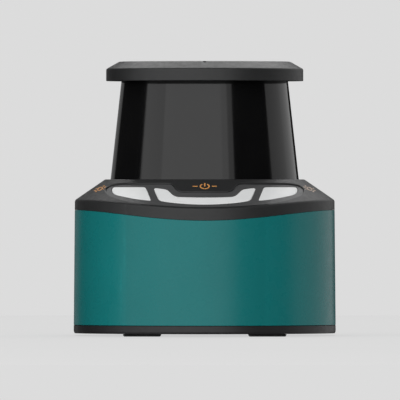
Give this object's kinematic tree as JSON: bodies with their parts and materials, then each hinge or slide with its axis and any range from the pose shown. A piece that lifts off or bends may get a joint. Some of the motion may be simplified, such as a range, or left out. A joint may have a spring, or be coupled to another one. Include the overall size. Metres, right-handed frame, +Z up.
{
  "type": "lidar scanner module",
  "caption": "Compact area laser scanner: round cap over a tapered black window, dark collar with white light windows, teal housing, with a motor-driven mirror inside.",
  "frame": {"origin": "on the scan axis, level with the undersides of the four feet, at the middle of the outer box", "axes": "+Z up along the scan axis, -Y towards the front with the light windows, +X to the right as seen from the front"},
  "size_m": [0.0808, 0.089, 0.0845],
  "materials": {
    "dark_plastic": "fine-textured dark grey moulded plastic",
    "teal_paint": "satin teal coating",
    "window_plastic": "polished black infrared-passing plastic",
    "white_diffuser": "white light-diffusing plastic",
    "black_plastic": "fine-textured black plastic",
    "rubber": "matt black rubber",
    "nickel_brass": "satin nickel plate",
    "aluminium": "die-cast, satin",
    "steel": "ground steel",
    "copper": "enamelled copper wire",
    "magnet": "dark sintered magnet",
    "brass": "turned brass",
    "glass": "clear, polished",
    "mirror": "front-surface mirror",
    "circuit_board": "green solder mask"
  },
  "bodies": {
    "frame": {"base_gasket": "rubber", "base_plate": "black_plastic", "base_screw_1": "steel", "base_screw_2": "steel", "base_screw_3": "steel", "base_screw_4": "steel", "chassis": "aluminium", "collar": "dark_plastic", "collar_gasket": "rubber", "collimator_lens": "glass", "emitter_barrel": "aluminium", "encoder_sensor": "black_plastic", "foot_front_left": "rubber", "foot_front_right": "rubber", "foot_rear_left": "rubber", "foot_rear_right": "rubber", "housing": "teal_paint", "indicator_bezel": "dark_plastic", "indicator_board": "circuit_board", "interface_board": "circuit_board", "light_window_center": "white_diffuser", "light_window_left": "white_diffuser", "light_window_right": "white_diffuser", "lower_bearing_outer_ring": "steel", "lower_window_seal": "rubber", "main_board": "circuit_board", "mount_insert_1": "brass", "mount_insert_2": "brass", "mount_insert_3": "brass", "mount_insert_4": "brass", "network_connector_insert": "black_plastic", "network_connector_nut": "nickel_brass", "network_connector_shell": "nickel_brass", "power_connector_insert": "black_plastic", "power_connector_nut": "nickel_brass", "power_connector_shell": "nickel_brass", "rear_column": "black_plastic", "receiver_board": "circuit_board", "receiver_housing": "black_plastic", "receiver_lens": "glass", "scan_window": "window_plastic", "stator_core": "steel", "top_cap": "dark_plastic", "upper_bearing_outer_ring": "steel", "upper_window_seal": "rubber", "vent_plug": "black_plastic", "winding_bottom": "copper", "winding_top": "copper"},
    "rotor": {"rotor_bell": "steel", "rotor_magnet": "magnet", "shaft": "steel", "upper_bearing_inner_ring": "steel", "lower_bearing_inner_ring": "steel", "encoder_disc": "glass", "mirror_carrier": "black_plastic", "scan_mirror": "mirror"},
    "upper_balls": {"upper_bearing_balls": "steel"},
    "lower_balls": {"lower_bearing_balls": "steel"}
  },
  "joints": [
    {"name": "rotor_spin", "type": "hinge", "parent": "frame", "child": "rotor", "pos_m": [0, 0, 0.0338], "axis": [0, 0, 1], "continuous": true},
    {"name": "upper_balls_spin", "type": "hinge", "parent": "frame", "child": "upper_balls", "pos_m": [0, 0, 0.0338], "axis": [0, 0, 1], "continuous": true},
    {"name": "lower_balls_spin", "type": "hinge", "parent": "frame", "child": "lower_balls", "pos_m": [0, 0, 0.0178], "axis": [0, 0, 1], "continuous": true}
  ],
  "couplings": [
    {"joint": "upper_balls_spin", "follows": "rotor_spin", "ratio": 0.38125},
    {"joint": "lower_balls_spin", "follows": "rotor_spin", "ratio": 0.38125}
  ]
}
